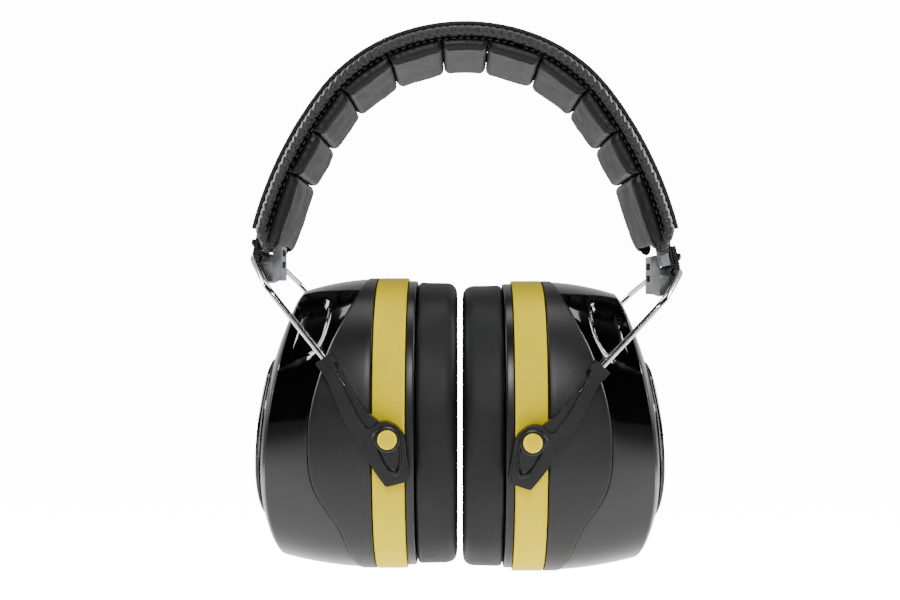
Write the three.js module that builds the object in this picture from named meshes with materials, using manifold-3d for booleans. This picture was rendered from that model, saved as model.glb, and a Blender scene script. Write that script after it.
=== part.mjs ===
// Earmuff hearing protector: padded sprung headband, two height sliders, two folding wire yokes
// and two tilting ear cups. Millimetres, +Z up, +Y to the rear, origin under the crown pad.
import * as THREE from "three";
import { mergeVertices } from "three/addons/utils/BufferGeometryUtils.js";
import Module from "manifold-3d";

const wasm = await Module();
wasm.setup();

// ---------- driving dimensions ----------
const FIT = 0.3; // clearance between touching pieces

// headband: the outer surface is three arcs a side, each [radius, end angle from the crown in degrees]
const BAND_THICKNESS = 11.5;
const BAND_ARCS = [[77.3, 20.8], [66.6, 52.9], [150.9, 75.4]];
const COVER_THICKNESS = 1.5;
const PAD_WIDTH = 49;
const COVER_WIDTH = PAD_WIDTH - 2;
const SPRING_THICKNESS = 0.9;
const SPRING_WIDTH = 16;
const SPRING_DEPTH = 3.15; // from the outer surface to the spring's outer face
const SEAM_RADIUS = 2.3;
const SEAM_DEPTH = 4.1;
const SEAM_Y = PAD_WIDTH / 2 - 0.5;
const PAD_EDGES = [10, 34.1, 58.6, 79.6, 98.9]; // arc lengths from the crown to the stitched grooves
const PAD_OVERHANG = 6; // the last pad cell runs on past the cover
const PAD_GROOVE = 0.6;
const PAD_CORE_WIDTH = 2 * (SEAM_Y - SEAM_RADIUS - FIT); // between the two seams
const PAD_DEPTH = 4.7; // from the outer surface to the top of a cell

// height adjustment
const GUIDE_LENGTH = 41;
const GUIDE_WALL = 0.9;
const GUIDE_DEPTH = 1.8;
const STRIP_THICKNESS = 1.2;
const STRIP_INSERTED = 32; // length held in the guide when fully in
const SLIDER_WIDTH = 30;
const SLIDER_REACH = 11; // from the end of the cover to the yoke's cross bar
const TONGUE_DEPTH = 1; // from the outer surface to the tongue's outer face
const TONGUE_THICKNESS = 1.7;
const TAIL_LENGTH = 10;
const TAIL_THICKNESS = 2.4;
const TAIL_LEAN = 20; // degrees from vertical, toward the head
const NOTCH = 5.6; // one step of the height adjustment
const NOTCHES_OUT = { left: 0, right: 1 };
const EYELET_WALL = 1.25;
const CLIP_WIDTH = 14;
const CLIP_THICKNESS = 3.6;
const CLIP_INSET = 4.4; // from the cross bar's axis to the clip's outer face
const CLIP_RISE = 6.5;
const CLIP_DROP = 8.8;
const CLIP_WINDOW = [8.6, 2.6];
const CLIP_RAIL = 2.2; // between the two windows, level with the cross bar
const RIVET_RADIUS = 1.5;
const RIVET_SPACING = SLIDER_WIDTH - 5;
const EARS = [8.2, 3.2]; // from the cross bar back along the band to the two ends of the clip's ears

// ear cup: D is the depth measured from the cushion's face outward, Z from the pivot upward
const FACE_GAP = 1.8; // between the two cushions when the band is relaxed
const MEETING_X = -2; // the plane where the cushions meet, to the left of the band's middle
const CUP_HALF_WIDTH = 44;
const CUP_HALF_HEIGHT = 58.05;
const CUP_CENTRE = 0.95;
const CUP_POWER = 2.35; // 2 is an ellipse, more is squarer
const CUSHION_DEPTH = 15.8;
const CUSHION_WIDTH = 22;
const CUSHION_INSET = 1.9;
const CUSHION_HEM = 5; // width of the cushion's skin round its plate
const PLATE_THICKNESS = 1.9;
const RIM_THICKNESS = 3.2;
const RING_DEPTH = 12;
const RING_WALL = 5;
const PIN_SETBACK = 5.8; // from the ring's cushion side to the pins
const PIVOT_DEPTH = CUSHION_DEPTH + RIM_THICKNESS + 2 * FIT + PIN_SETBACK;
const SHELL_WALL = 2.4;
const SHELL_DEPTH = 47.1; // from the ring to the deepest place of the outer face
const CREASE = { halfWidth: CUP_HALF_WIDTH - 6, halfHeight: CUP_HALF_HEIGHT - 5.05 };
const FACE_DEEPEST = -14; // height at which the outer face is deepest
const FACE_FALL = { up: [17, 68], down: [12.5, 43], side: [6.5, 38] }; // each [fall, over this distance]
const LINER_THICKNESS = 8;
const INNER_CUP_DEPTH = 37;
const INNER_CUP_WALL = 2;
const INNER_CUP_TAPER = 9;
const BADGE = { halfWidth: 21, halfHeight: 31, centre: -5, thickness: 1.1 };

// yoke
const WIRE_RADIUS = 1.15;
const YOKE_LENGTH = CUP_HALF_HEIGHT + 27.15; // cross bar to cup pivot
const BAR_HALF = 28;
const SHOULDER_DROP = 13.9;
const WIRE_BEND = 5;
const WIRE_END = 25; // distance from the pivot at which the wire stops inside the arm
const ARM_THICKNESS = 4.8;
const ARM_GAP = 1.4; // from the cup's side to the arm
const WIRE_Y = CUP_HALF_WIDTH + ARM_GAP + ARM_THICKNESS / 2;
const BOSS_THICKNESS = 1.2;
const PIN_RADIUS = 2;
const BUTTON_RADIUS = 3.5;
const BUTTON_THICKNESS = 1.4;

// ---------- materials ----------
const material = (color, roughness, metalness = 0) =>
  new THREE.MeshStandardMaterial({ color, roughness, metalness });
const looks = {
  leather: [0x1d1d1f, 0.75],
  softPad: [0x232325, 0.5],
  thread: [0x2a2a2c, 0.8],
  steel: [0xb9bcbf, 0.25, 1],
  satinBlack: [0x18181a, 0.55],
  glossBlack: [0x0c0c0e, 0.12],
  grainBlack: [0x1c1c1e, 0.6],
  yellow: [0xf2ce12, 0.35],
  grey: [0x9a9da0, 0.5],
  foam: [0x3a3b3e, 0.95],
  gauze: [0x2e2f31, 0.9],
};

// ---------- solids ----------
const TAU = Math.PI * 2;
const rad = THREE.MathUtils.degToRad;

function geometryOf(points, faces) {
  const geometry = new THREE.BufferGeometry();
  geometry.setAttribute("position", new THREE.Float32BufferAttribute(points.flat(), 3));
  geometry.setIndex(faces.flat());
  return geometry;
}

// Joins rings of equally many points. A closed loft joins its last ring to its first,
// an open one is capped at both ends.
function loft(rings, closed = false) {
  const count = rings[0].length;
  const points = rings.flat();
  const faces = [];
  const spans = closed ? rings.length : rings.length - 1;
  for (let i = 0; i < spans; i++) {
    const a = i * count;
    const b = ((i + 1) % rings.length) * count;
    for (let j = 0; j < count; j++) {
      const k = (j + 1) % count;
      faces.push([a + j, a + k, b + k], [a + j, b + k, b + j]);
    }
  }
  if (!closed) {
    const last = (rings.length - 1) * count;
    [[0, true], [last, false]].forEach(([start, first]) => {
      const ring = points.slice(start, start + count);
      const middle = [0, 1, 2].map((axis) => ring.reduce((sum, p) => sum + p[axis], 0) / count);
      const hub = points.push(middle) - 1;
      for (let j = 0; j < count; j++) {
        const k = (j + 1) % count;
        faces.push(first ? [hub, start + k, start + j] : [hub, start + j, start + k]);
      }
    });
  }
  return outward(geometryOf(points, faces));
}

function signedVolume(geometry) {
  const at = geometry.attributes.position;
  const index = geometry.index.array;
  const [a, b, c] = [new THREE.Vector3(), new THREE.Vector3(), new THREE.Vector3()];
  let sum = 0;
  for (let i = 0; i < index.length; i += 3) {
    a.fromBufferAttribute(at, index[i]);
    b.fromBufferAttribute(at, index[i + 1]);
    c.fromBufferAttribute(at, index[i + 2]);
    sum += a.dot(b.cross(c));
  }
  return sum;
}

function outward(geometry) {
  if (signedVolume(geometry) < 0) {
    const index = geometry.index.array;
    for (let i = 0; i < index.length; i += 3) {
      [index[i + 1], index[i + 2]] = [index[i + 2], index[i + 1]];
    }
  }
  return geometry;
}

function solidOf(geometry) {
  const bare = geometry.clone();
  bare.deleteAttribute("normal");
  bare.deleteAttribute("uv");
  const merged = outward(mergeVertices(bare, 1e-4));
  return new wasm.Manifold(new wasm.Mesh({
    numProp: 3,
    vertProperties: merged.attributes.position.array,
    triVerts: new Uint32Array(merged.index.array),
  }));
}

function geometryFrom(solid) {
  const mesh = solid.getMesh();
  const geometry = new THREE.BufferGeometry();
  geometry.setAttribute("position", new THREE.BufferAttribute(mesh.vertProperties, 3));
  geometry.setIndex(new THREE.BufferAttribute(mesh.triVerts, 1));
  return geometry;
}

const join = (body, ...tools) =>
  geometryFrom(tools.reduce((sum, tool) => sum.add(solidOf(tool)), solidOf(body)));
const cut = (body, ...tools) =>
  geometryFrom(tools.reduce((sum, tool) => sum.subtract(solidOf(tool)), solidOf(body)));

function box(x0, x1, y0, y1, z0, z1) {
  const made = new THREE.BoxGeometry(x1 - x0, y1 - y0, z1 - z0);
  return made.translate((x0 + x1) / 2, (y0 + y1) / 2, (z0 + z1) / 2);
}

// A cylinder along Y.
function rod(x, z, radius, y0, y1, sides = 20) {
  return new THREE.CylinderGeometry(radius, radius, y1 - y0, sides).translate(x, (y0 + y1) / 2, z);
}

// A prism whose outline lies in the XZ plane, between two values of Y.
function slab(outline, y0, y1) {
  return loft([y0, y1].map((y) => outline.map(([x, z]) => [x, y, z])));
}

const add = (group, name, look, geometry) => {
  const mesh = new THREE.Mesh(geometry, material(...looks[look]));
  mesh.name = name;
  group.add(mesh);
  return mesh;
};

// ---------- headband path ----------
// Arcs with their centres, from the crown down the right-hand side.
const bandArcs = (() => {
  let from = 0;
  let centre = [0, BAND_THICKNESS - BAND_ARCS[0][0]];
  let start = 0;
  return BAND_ARCS.map(([radius, end], i) => {
    if (i) {
      const change = BAND_ARCS[i - 1][0] - radius;
      centre = [centre[0] + change * Math.sin(from), centre[1] + change * Math.cos(from)];
    }
    const arc = { radius, from, to: rad(end), centre, start, length: radius * (rad(end) - from) };
    from = arc.to;
    start += arc.length;
    return arc;
  });
})();
const sideArc = bandArcs[bandArcs.length - 1];
const BAND_HALF_LENGTH = sideArc.start + sideArc.length;

// The place at arc length u along the outer surface (negative on the left) and depth d under it.
function bandPlace(u, d) {
  const side = Math.sign(u) || 1;
  const s = Math.abs(u);
  const arc = bandArcs.find((a) => s <= a.start + a.length) || sideArc;
  const angle = arc.from + (s - arc.start) / arc.radius;
  const r = arc.radius - d;
  return [side * (arc.centre[0] + r * Math.sin(angle)), arc.centre[1] + r * Math.cos(angle)];
}

// A strip of the band between two arc lengths, whose section is a list of [y, depth].
function bandStrip(u0, u1, section, step = 7) {
  const steps = Math.max(1, Math.round((u1 - u0) / step));
  const rings = [];
  for (let i = 0; i <= steps; i++) {
    const u = u0 + ((u1 - u0) * i) / steps;
    rings.push(section.map(([y, d]) => {
      const [x, z] = bandPlace(u, d);
      return [x, y, z];
    }));
  }
  return loft(rings);
}

const plateSection = (width, d0, d1) => {
  const y = width / 2;
  return [[-y, d0], [y, d0], [y, d1], [-y, d1]];
};

class BandCurve extends THREE.Curve {
  constructor(y, depth, reach) {
    super();
    this.y = y;
    this.depth = depth;
    this.reach = reach;
  }

  getPoint(t, target = new THREE.Vector3()) {
    const [x, z] = bandPlace((2 * t - 1) * this.reach, this.depth);
    return target.set(x, this.y, z);
  }
}

function padCell(u0, u1) {
  const [core, half, top] = [PAD_CORE_WIDTH / 2, PAD_WIDTH / 2, PAD_DEPTH];
  const below = SEAM_DEPTH + SEAM_RADIUS + FIT;
  const bottom = BAND_THICKNESS;
  const section = [
    [-core, top], [core, top], [core, below], [half, below], [half, bottom - 2],
    [half - 2.5, bottom], [2.5 - half, bottom], [-half, bottom - 2], [-half, below], [-core, below],
  ];
  return bandStrip(u0 + PAD_GROOVE / 2, u1 - PAD_GROOVE / 2, section);
}

const guideEnd = BAND_HALF_LENGTH;
const barAt = BAND_HALF_LENGTH + SLIDER_REACH;
const barDepth = TONGUE_DEPTH + WIRE_RADIUS + FIT + EYELET_WALL - 0.1;
const barIn = bandPlace(barAt, barDepth);
const earsFrom = barAt - EARS[0];
const earsTo = barAt - EARS[1];
const rivetAt = (earsFrom + earsTo) / 2;
const guideStart = guideEnd - GUIDE_LENGTH;
const slotDepth = GUIDE_DEPTH + GUIDE_WALL;
const slotHeight = STRIP_THICKNESS + 2 * FIT;
const guideInner = slotDepth + slotHeight + GUIDE_WALL;
const guideHalfWidth = SLIDER_WIDTH / 2 + FIT + 1.6;
const stripDepth = slotDepth + FIT;
const earsDepth = barDepth + CLIP_INSET; // level with the clip's outer face

// A pad cell is thinner over the slider's guide, and the last one has a pocket for the clip.
function padCellClear(u0, u1) {
  const cell = padCell(u0, u1);
  if (u1 < guideStart - FIT) return cell;
  const roomWidth = 2 * (guideHalfWidth + FIT);
  const room = bandStrip(guideStart - FIT, u1 + 5, plateSection(roomWidth, 0, guideInner + FIT));
  const clear = 2 * FIT;
  const { innerX, outerX, low, high } = clipBounds();
  const y = SLIDER_WIDTH / 2 + clear;
  const pocket = box(innerX - clear, outerX + 5, -y, y, low, high + clear);
  const earPocket = bandStrip(earsFrom - clear, u1 + 5, plateSection(2 * y, 0, earsDepth + clear));
  return cut(cell, room, pocket, earPocket);
}

// ---------- headband ----------
function buildHeadband(group) {
  const coverEnd = BAND_HALF_LENGTH;
  const springEnd = guideEnd - STRIP_INSERTED - 2;
  add(group, "head_cover", "leather",
    bandStrip(-coverEnd, coverEnd, plateSection(COVER_WIDTH, 0, COVER_THICKNESS)));
  add(group, "spring_band", "steel", bandStrip(-springEnd, springEnd,
    plateSection(SPRING_WIDTH, SPRING_DEPTH, SPRING_DEPTH + SPRING_THICKNESS)));
  const disc = new THREE.Shape().absarc(0, 0, SEAM_RADIUS, 0, TAU, false);
  [["front", -1], ["rear", 1]].forEach(([name, way]) => {
    const extrudePath = new BandCurve(way * SEAM_Y, SEAM_DEPTH, BAND_HALF_LENGTH);
    add(group, "seam_" + name, "thread",
      new THREE.ExtrudeGeometry(disc, { extrudePath, steps: 36, curveSegments: 4 }));
  });
  const edges = [...PAD_EDGES, BAND_HALF_LENGTH + PAD_OVERHANG];
  const middle = edges.length;
  const cellName = (i) => "pad_cell_" + String(i).padStart(2, "0");
  add(group, cellName(middle), "softPad", flatCrownCell(edges[0]));
  for (let i = 1; i < edges.length; i++) {
    [[1, middle + i], [-1, middle - i]].forEach(([side, number]) => {
      const cell = padCellClear(edges[i - 1], edges[i]);
      const mesh = add(group, cellName(number), "softPad", cell);
      mesh.scale.x = side;
    });
  }
}

// The crown cell's underside is trimmed to one flat face, on which the band rests.
function flatCrownCell(edge) {
  const flat = 8;
  return cut(padCell(-edge, edge), box(-flat, flat, -PAD_WIDTH, PAD_WIDTH, -3, 0));
}

// ---------- height slider, built on the right-hand side, fully in ----------
function buildGuide(group, side) {
  const outer = bandStrip(guideStart, guideEnd, plateSection(2 * guideHalfWidth, GUIDE_DEPTH, guideInner));
  const slot = bandStrip(guideStart - 2, guideEnd + 2,
    plateSection(SLIDER_WIDTH + 2 * FIT, slotDepth, slotDepth + slotHeight));
  add(group, "slider_guide_" + side, "satinBlack", cut(outer, slot));
}

// Two rivets, square to the band, hold the strip and the clip to the tongue.
const rivetPlaces = [-1, 1].map((way) => [(way * RIVET_SPACING) / 2, way < 0 ? "front" : "rear"]);

function rivetRod(y, radius, fromDepth, toDepth) {
  const [x0, z0] = bandPlace(rivetAt, fromDepth);
  const [x1, z1] = bandPlace(rivetAt, toDepth);
  const made = new THREE.CylinderGeometry(radius, radius, Math.abs(fromDepth - toDepth), 14);
  return made.rotateZ(Math.atan2(z1 - z0, x1 - x0) - Math.PI / 2)
    .translate((x0 + x1) / 2, y, (z0 + z1) / 2);
}

const rivetShank = RIVET_RADIUS * 0.6;
const rivetHoles = () => rivetPlaces.map(([y]) => rivetRod(y, rivetShank + FIT, -2, 12));

// The flexible strip lies in the guide at any height, so it follows the band's own line.
function buildStrip(group, side, out) {
  const strip = bandStrip(guideEnd - STRIP_INSERTED + out, earsTo + out,
    plateSection(SLIDER_WIDTH, stripDepth, stripDepth + STRIP_THICKNESS), 6);
  const holes = rivetHoles().map((hole) => hole.translate(slideWay[0] * out, 0, slideWay[1] * out));
  add(group, "slider_strip_" + side, "satinBlack", cut(strip, ...holes));
}

function buildSlider(group, side) {
  const [x, z] = barIn;
  const half = SLIDER_WIDTH / 2;
  const plate = bandStrip(BAND_HALF_LENGTH + 2 * FIT, barAt,
    plateSection(SLIDER_WIDTH, TONGUE_DEPTH, TONGUE_DEPTH + TONGUE_THICKNESS), 6);
  const bore = WIRE_RADIUS + FIT;
  const eyelet = rod(x, z, bore + EYELET_WALL, -half, half);
  const tail = box(-TAIL_THICKNESS / 2, TAIL_THICKNESS / 2, -half + 2, half - 2, -TAIL_LENGTH, 0)
    .rotateY(rad(TAIL_LEAN)).translate(x + 0.8, 0, z);
  const wireHole = rod(x, z, bore, -half - 1, half + 1);
  add(group, "slider_tongue_" + side, "satinBlack",
    cut(join(plate, eyelet, tail), wireHole, ...rivetHoles()));
  buildClip(group, side);
}

// The clip lies on the head's side of the tongue. Its ears reach out to the strip.
function clipBounds() {
  const [x, z] = barIn;
  const outerX = x - CLIP_INSET;
  return { innerX: outerX - CLIP_THICKNESS, outerX, low: z - CLIP_DROP, high: z + CLIP_RISE };
}

function buildClip(group, side) {
  const { innerX, outerX, low: bottom, high } = clipBounds();
  const z = barIn[1];
  const body = box(innerX, outerX, -CLIP_WIDTH / 2, CLIP_WIDTH / 2, bottom, high);
  const [wide, tall] = CLIP_WINDOW;
  const windows = [z + CLIP_RAIL / 2, z - CLIP_RAIL / 2 - tall].map((low) =>
    box(innerX - 1, outerX + 1, -wide / 2, wide / 2, low, low + tall));
  const ears = bandStrip(earsFrom, earsTo,
    plateSection(SLIDER_WIDTH, stripDepth + STRIP_THICKNESS + FIT, earsDepth), 3);
  add(group, "height_clip_" + side, "grey", cut(join(body, ears), ...windows, ...rivetHoles()));
  rivetPlaces.forEach(([y, name]) => {
    const head = rivetRod(y, RIVET_RADIUS, TONGUE_DEPTH - FIT - 0.8, TONGUE_DEPTH - FIT);
    const shank = rivetRod(y, rivetShank, TONGUE_DEPTH - FIT - 0.1, earsDepth);
    add(group, "clip_rivet_" + name + "_" + side, "steel", join(head, shank));
  });
}

// ---------- yoke: u runs from the pivot to the cross bar, v is square to it, outward ----------
class YokePath extends THREE.CurvePath {
  constructor() {
    super();
    const shoulder = YOKE_LENGTH - SHOULDER_DROP;
    const corners = [
      [WIRE_Y, WIRE_END], [WIRE_Y, shoulder], [BAR_HALF, YOKE_LENGTH],
      [-BAR_HALF, YOKE_LENGTH], [-WIRE_Y, shoulder], [-WIRE_Y, WIRE_END],
    ].map(([y, u]) => new THREE.Vector3(0, y, u));
    let at = corners[0];
    for (let i = 1; i < corners.length - 1; i++) {
      const corner = corners[i];
      const before = corner.clone().add(corners[i - 1].clone().sub(corner).setLength(WIRE_BEND));
      const after = corner.clone().add(corners[i + 1].clone().sub(corner).setLength(WIRE_BEND));
      this.add(new THREE.LineCurve3(at, before));
      this.add(new THREE.QuadraticBezierCurve3(before, corner, after));
      at = after;
    }
    this.add(new THREE.LineCurve3(at, corners[corners.length - 1]));
  }
}

// The arm's outline in [v, u], from the ferrule down its outer edge, round the foot and up the other.
const ARM_OUTLINE = [
  [2.9, 37.4], [3.6, 30], [6, 23], [8.1, 15], [9.4, 7], [10.4, -1], [10.9, -7], [10.2, -12.5],
  [8.3, -15], [5, -15.9], [2.4, -15.3], [0.4, -12], [-2.2, -8], [-4.8, -4.6], [-5.9, -1], [-5.2, 3],
  [-3.4, 5.8], [-1, 8.5], [0.6, 14], [-0.3, 22], [-2.4, 30], [-2.9, 37.4],
];
const BOSS_OUTLINE = [
  [4.4, 3.4], [6.4, -3], [7.4, -9], [6, -12.2], [3.6, -12.2], [-0.6, -7.6], [-3.6, -2.6], [-3.8, 1.6],
  [-1.6, 4.4], [1.6, 5],
];

function buildYoke(group, side) {
  const disc = new THREE.Shape().absarc(0, 0, WIRE_RADIUS, 0, TAU, false);
  add(group, "yoke_wire_" + side, "steel",
    new THREE.ExtrudeGeometry(disc, { extrudePath: new YokePath(), steps: 42, curveSegments: 4 }));
  [["front", -1], ["rear", 1]].forEach(([name, way]) => {
    const inner = WIRE_Y - ARM_THICKNESS / 2;
    const outer = inner + ARM_THICKNESS;
    const plate = slab(ARM_OUTLINE, inner, outer);
    const boss = slab(BOSS_OUTLINE, outer - 0.5, outer + BOSS_THICKNESS);
    const eye = rod(0, 0, PIN_RADIUS + FIT, inner - 1, outer + BOSS_THICKNESS + 1);
    const socketLength = 20;
    const socket = new THREE.CylinderGeometry(WIRE_RADIUS + FIT, WIRE_RADIUS + FIT, socketLength, 16)
      .rotateX(Math.PI / 2).translate(0, WIRE_Y, WIRE_END - 1 + socketLength / 2);
    const arm = cut(join(plate, boss), eye, socket);
    const mesh = add(group, "yoke_arm_" + name + "_" + side, "satinBlack", arm);
    mesh.scale.y = way;
  });
}

// ---------- ear cup: the group's X runs outward from the cushion's face ----------
const squared = (value) => Math.sign(value) * Math.abs(value) ** (2 / CUP_POWER);
const ringOutline = (a, b, segments = 32, centre = CUP_CENTRE) => {
  const points = [];
  for (let i = 0; i < segments; i++) {
    const t = (i / segments) * TAU;
    points.push([a * squared(Math.cos(t)), centre + b * squared(Math.sin(t))]);
  }
  return points;
};

// A ring round the cup whose section is a list of [inset from the outline, depth].
function cupRing(section, halfWidth = CUP_HALF_WIDTH, halfHeight = CUP_HALF_HEIGHT) {
  return loft(section.map(([inset, depth]) =>
    ringOutline(halfWidth - inset, halfHeight - inset).map(([y, z]) => [depth, y, z])), true);
}

const WALL_START = CUSHION_DEPTH + FIT + RIM_THICKNESS + FIT + RING_DEPTH + FIT;

// The cup's outer face: depth at a place on it, deepest a little below the pivot.
const faceDepth = (y, z) => {
  const rise = z - FACE_DEEPEST;
  const [fall, over] = rise > 0 ? FACE_FALL.up : FACE_FALL.down;
  const [sideFall, sideOver] = FACE_FALL.side;
  return WALL_START + SHELL_DEPTH - fall * (rise / over) ** 2 - sideFall * (y / sideOver) ** 2;
};

// The line between the grained side shell and the glossy outer shell, as [height, distance from the
// wall's start]: far out at mid height, close to the yellow ring at the top and the bottom.
const SEAM_LINE = [
  [-60, 3], [-57, 5], [-52, 7.6], [-42, 10.6], [-34.4, 13.2], [-28.9, 17.2], [-21.9, 21.4],
  [-14.9, 23.2], [-5.5, 23.8], [4.7, 23.5], [15.6, 21.6], [30.4, 17.4], [36.5, 15], [42.6, 11.8],
  [50.5, 8], [57, 4.2], [60, 3],
];
const seamDepth = (z) => {
  const last = SEAM_LINE.length - 1;
  const held = THREE.MathUtils.clamp(z, SEAM_LINE[0][0], SEAM_LINE[last][0]);
  const next = Math.max(1, SEAM_LINE.findIndex(([height]) => height >= held));
  const [[z0, d0], [z1, d1]] = [SEAM_LINE[next - 1], SEAM_LINE[next]];
  return WALL_START + d0 + ((d1 - d0) * (held - z0)) / (z1 - z0);
};

// A point of the cup's wall: share 0 is at the ring, share 1 at the crease of the outer face.
function wallPoint(angle, depth, inset) {
  const [cy, cz] = [squared(Math.cos(angle)), squared(Math.sin(angle))];
  const crease = faceDepth(CREASE.halfWidth * cy, CUP_CENTRE + CREASE.halfHeight * cz);
  const share = Math.min(1, (depth - WALL_START) / (crease - WALL_START));
  const narrow = share ** 1.9;
  const a = CUP_HALF_WIDTH + (CREASE.halfWidth - CUP_HALF_WIDTH) * narrow - inset;
  const b = CUP_HALF_HEIGHT + (CREASE.halfHeight - CUP_HALF_HEIGHT) * narrow - inset;
  return { point: [depth, a * cy, CUP_CENTRE + b * cz], crease };
}

const WALL_SEGMENTS = 32;
const angles = Array.from({ length: WALL_SEGMENTS }, (_, i) => (i / WALL_SEGMENTS) * TAU);
const seamAt = (angle) => seamDepth(CUP_CENTRE + CUP_HALF_HEIGHT * squared(Math.sin(angle)));

function wallRing(share, inset) {
  return angles.map((angle) => {
    const depth = WALL_START + (seamAt(angle) - WALL_START) * share;
    return wallPoint(angle, depth, inset).point;
  });
}

function sideShell() {
  const shares = [0, 0.5, 1];
  return loft([
    ...shares.map((share) => wallRing(share, 0)),
    ...shares.reverse().map((share) => wallRing(share, SHELL_WALL)),
  ], true);
}

function outerShell() {
  const upper = (share, inset, lift) => angles.map((angle) => {
    const from = seamAt(angle) + FIT;
    const { crease } = wallPoint(angle, from, inset);
    const depth = from + (crease - lift - from) * share;
    return wallPoint(angle, depth, inset).point;
  });
  const face = (scale, inset, lift) => angles.map((angle) => {
    const { point } = wallPoint(angle, 1e3, inset);
    const [y, z] = [point[1] * scale, CUP_CENTRE + (point[2] - CUP_CENTRE) * scale];
    return [faceDepth(y, z) - lift, y, z];
  });
  const scales = [0.95, 0.72, 0.36, 0.08];
  const shares = [0, 0.4, 0.75, 0.93];
  const skin = (inset, lift) => [
    ...shares.map((share) => upper(share, inset, lift)),
    ...scales.map((scale) => face(scale, inset, lift)),
  ];
  return loft([...skin(0, 0).reverse(), ...skin(SHELL_WALL, SHELL_WALL)]);
}

// An open tub from depth d0 to d1, narrowing by taper toward its closed end.
function tub(halfWidth, halfHeight, d0, d1, wall, taper) {
  const ring = (inset, depth) => {
    const narrow = (taper * (depth - d0)) / (d1 - d0);
    return ringOutline(halfWidth - inset - narrow, halfHeight - inset - narrow, 28)
      .map(([y, z]) => [depth, y, z]);
  };
  const middle = ringOutline(3, 4, 28);
  return loft([
    middle.map(([y, z]) => [d1, y, z]),
    ring(4, d1), ring(0, d1 - 5), ring(0, d0),
    ring(wall, d0), ring(wall, d1 - 5), ring(wall + 3, d1 - wall),
    middle.map(([y, z]) => [d1 - wall, y, z]),
  ]);
}

function badgePlate() {
  const { halfWidth, halfHeight, centre, thickness } = BADGE;
  const ring = (scale, lift) => ringOutline(halfWidth * scale, halfHeight * scale, 28, centre)
    .map(([y, z]) => [faceDepth(y, z) + lift, y, z]);
  const low = FIT + 0.25; // the shell's own facets need a little more than the clearance
  const high = low + thickness;
  return loft([
    ring(0.06, low), ring(0.6, low), ring(1, low), ring(1, high), ring(0.6, high), ring(0.06, high),
  ]);
}

function buildPin(group, side) {
  const face = WIRE_Y + ARM_THICKNESS / 2 + BOSS_THICKNESS + FIT;
  const tip = CUP_HALF_WIDTH - RING_WALL + 0.6;
  const profile = [
    [0, tip], [PIN_RADIUS, tip], [PIN_RADIUS, face], [BUTTON_RADIUS, face],
    [BUTTON_RADIUS, face + BUTTON_THICKNESS * 0.6], [BUTTON_RADIUS * 0.75, face + BUTTON_THICKNESS],
    [0, face + BUTTON_THICKNESS],
  ].map(([r, y]) => new THREE.Vector2(r, y));
  [["front", -1], ["rear", 1]].forEach(([name, way]) => {
    const pin = new THREE.LatheGeometry(profile, 20);
    const mesh = add(group, "pivot_pin_" + name + "_" + side, "yellow", pin);
    mesh.scale.y = way;
  });
}

function buildCup(group, side) {
  const cup = new THREE.Group();
  cup.position.x = -PIVOT_DEPTH;
  group.add(cup);
  const plateStart = CUSHION_DEPTH - PLATE_THICKNESS;
  const [wide, inset] = [CUSHION_WIDTH, CUSHION_INSET];
  const back = plateStart - FIT;
  add(cup, "ear_cushion_" + side, "softPad", cupRing([
    [inset, CUSHION_DEPTH], [inset, 4], [inset + 1.2, 1.2], [inset + 4, 0], [inset + wide - 4, 0],
    [inset + wide - 1.2, 1.2], [inset + wide, 4], [inset + wide, back], [inset + CUSHION_HEM, back],
    [inset + CUSHION_HEM, CUSHION_DEPTH],
  ]));
  add(cup, "cushion_plate_" + side, "satinBlack", cupRing([
    [inset + CUSHION_HEM + FIT, CUSHION_DEPTH], [inset + CUSHION_HEM + FIT, plateStart],
    [inset + wide, plateStart], [inset + wide, CUSHION_DEPTH],
  ]));
  const rimStart = CUSHION_DEPTH + FIT;
  const rimEnd = rimStart + RIM_THICKNESS;
  add(cup, "rim_plate_" + side, "satinBlack", cupRing([
    [1.2, rimEnd], [1.2, rimStart + 0.8], [2, rimStart], [inset + wide, rimStart], [inset + wide, rimEnd],
  ]));
  const ringStart = rimEnd + FIT;
  const ringEnd = ringStart + RING_DEPTH;
  const ring = cupRing([
    [0.7, ringEnd], [0, ringEnd - 0.8], [0, ringStart + 0.8], [0.7, ringStart],
    [RING_WALL, ringStart], [RING_WALL, ringEnd],
  ]);
  const holeEnds = [CUP_HALF_WIDTH - RING_WALL - 9, CUP_HALF_WIDTH + 16];
  const holes = [
    rod(PIVOT_DEPTH, 0, PIN_RADIUS + FIT, -holeEnds[1], -holeEnds[0]),
    rod(PIVOT_DEPTH, 0, PIN_RADIUS + FIT, ...holeEnds),
  ];
  add(cup, "cup_ring_" + side, "yellow", cut(ring, ...holes));
  add(cup, "side_shell_" + side, "grainBlack", sideShell());
  add(cup, "outer_shell_" + side, "glossBlack", outerShell());
  const [tubWide, tubHigh] = [CUP_HALF_WIDTH - RING_WALL - 2 * FIT, CUP_HALF_HEIGHT - RING_WALL - 2 * FIT];
  add(cup, "inner_cup_" + side, "satinBlack",
    tub(tubWide, tubHigh, ringStart, ringStart + INNER_CUP_DEPTH, INNER_CUP_WALL, INNER_CUP_TAPER));
  const lining = INNER_CUP_WALL + FIT;
  add(cup, "foam_liner_" + side, "foam", tub(tubWide - lining - 1, tubHigh - lining - 1,
    ringStart + 1.4, ringStart + INNER_CUP_DEPTH - lining, LINER_THICKNESS, INNER_CUP_TAPER));
  add(cup, "ear_gauze_" + side, "gauze", loft([0, 0.8].map((t) =>
    ringOutline(tubWide - lining, tubHigh - lining, 28).map(([y, z]) => [ringStart + 0.1 + t, y, z]))));
  add(cup, "badge_plate_" + side, "glossBlack", badgePlate());
  buildPin(group, side);
}

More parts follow.
